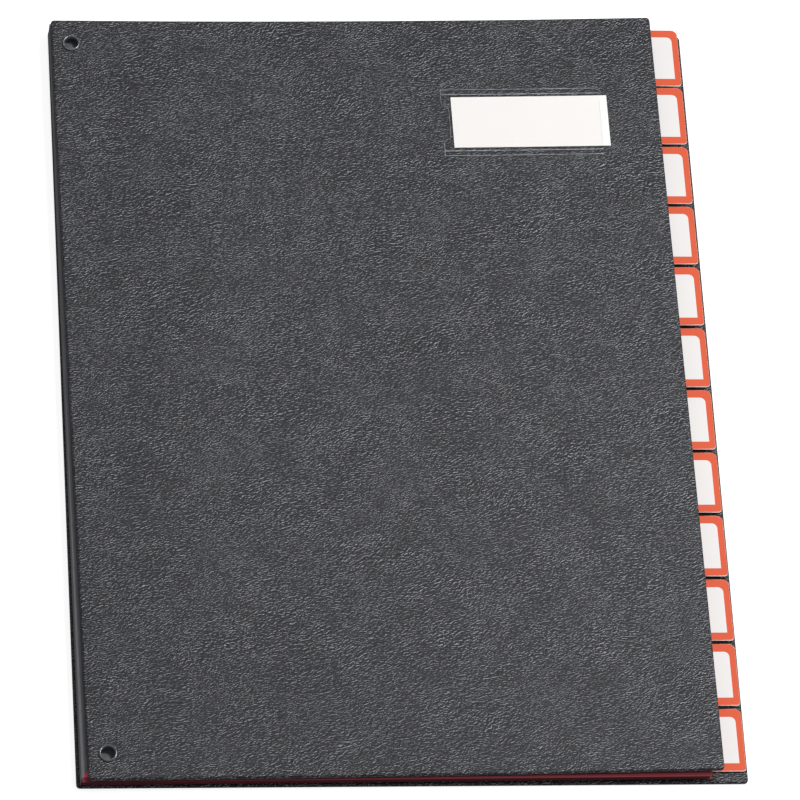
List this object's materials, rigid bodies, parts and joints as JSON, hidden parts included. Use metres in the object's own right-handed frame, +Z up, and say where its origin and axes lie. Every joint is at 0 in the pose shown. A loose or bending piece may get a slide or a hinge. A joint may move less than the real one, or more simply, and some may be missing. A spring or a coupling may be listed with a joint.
{
  "type": "desk sorter",
  "caption": "A4 desk sorter: board covers in dark leather-look film, pleated cloth spine, red index cards with white tab labels, title pocket on the front.",
  "frame": {"origin": "middle of the back cover's underside, which is the middle of the bottom of the whole closed sorter", "axes": "+X from the spine to the fore edge with the tabs, +Y from the foot to the head, +Z up out of the front cover"},
  "size_m": [0.265, 0.3417, 0.0151],
  "materials": {
    "cover_film": "fine leather grain, satin",
    "lining_paper": "matt black paper",
    "spine_cloth": "smooth coated cloth, satin",
    "red_card": "matt card",
    "white_paper": "smooth white paper",
    "clear_film": "clear gloss film",
    "black_lacquer": "black lacquer, gloss"
  },
  "bodies": {
    "sections": {"spine_pleats": "spine_cloth", "divider_01": "red_card", "divider_02": "red_card", "divider_03": "red_card", "divider_04": "red_card", "divider_05": "red_card", "divider_06": "red_card", "divider_07": "red_card", "divider_08": "red_card", "divider_09": "red_card", "divider_10": "red_card", "divider_11": "red_card", "divider_12": "red_card", "tab_label_01": "white_paper", "tab_label_02": "white_paper", "tab_label_03": "white_paper", "tab_label_04": "white_paper", "tab_label_05": "white_paper", "tab_label_06": "white_paper", "tab_label_07": "white_paper", "tab_label_08": "white_paper", "tab_label_09": "white_paper", "tab_label_10": "white_paper", "tab_label_11": "white_paper", "tab_label_12": "white_paper"},
    "front_cover": {"front_cover": "cover_film", "front_lining": "lining_paper", "front_eyelet_head": "black_lacquer", "front_eyelet_foot": "black_lacquer", "title_pocket": "clear_film", "title_card": "white_paper"},
    "back_cover": {"back_cover": "cover_film", "back_lining": "lining_paper", "back_eyelet_head": "black_lacquer", "back_eyelet_foot": "black_lacquer"}
  },
  "joints": [
    {"name": "front_cover_hinge", "type": "hinge", "parent": "sections", "child": "front_cover", "pos_m": [-0.1315, 0.1691, 0.01215], "axis": [0.007, -1, 0], "range_deg": [0, 180]},
    {"name": "back_cover_hinge", "type": "hinge", "parent": "sections", "child": "back_cover", "pos_m": [-0.1325, 0, 0.0022], "axis": [0, 1, 0], "range_deg": [0, 180]}
  ]
}
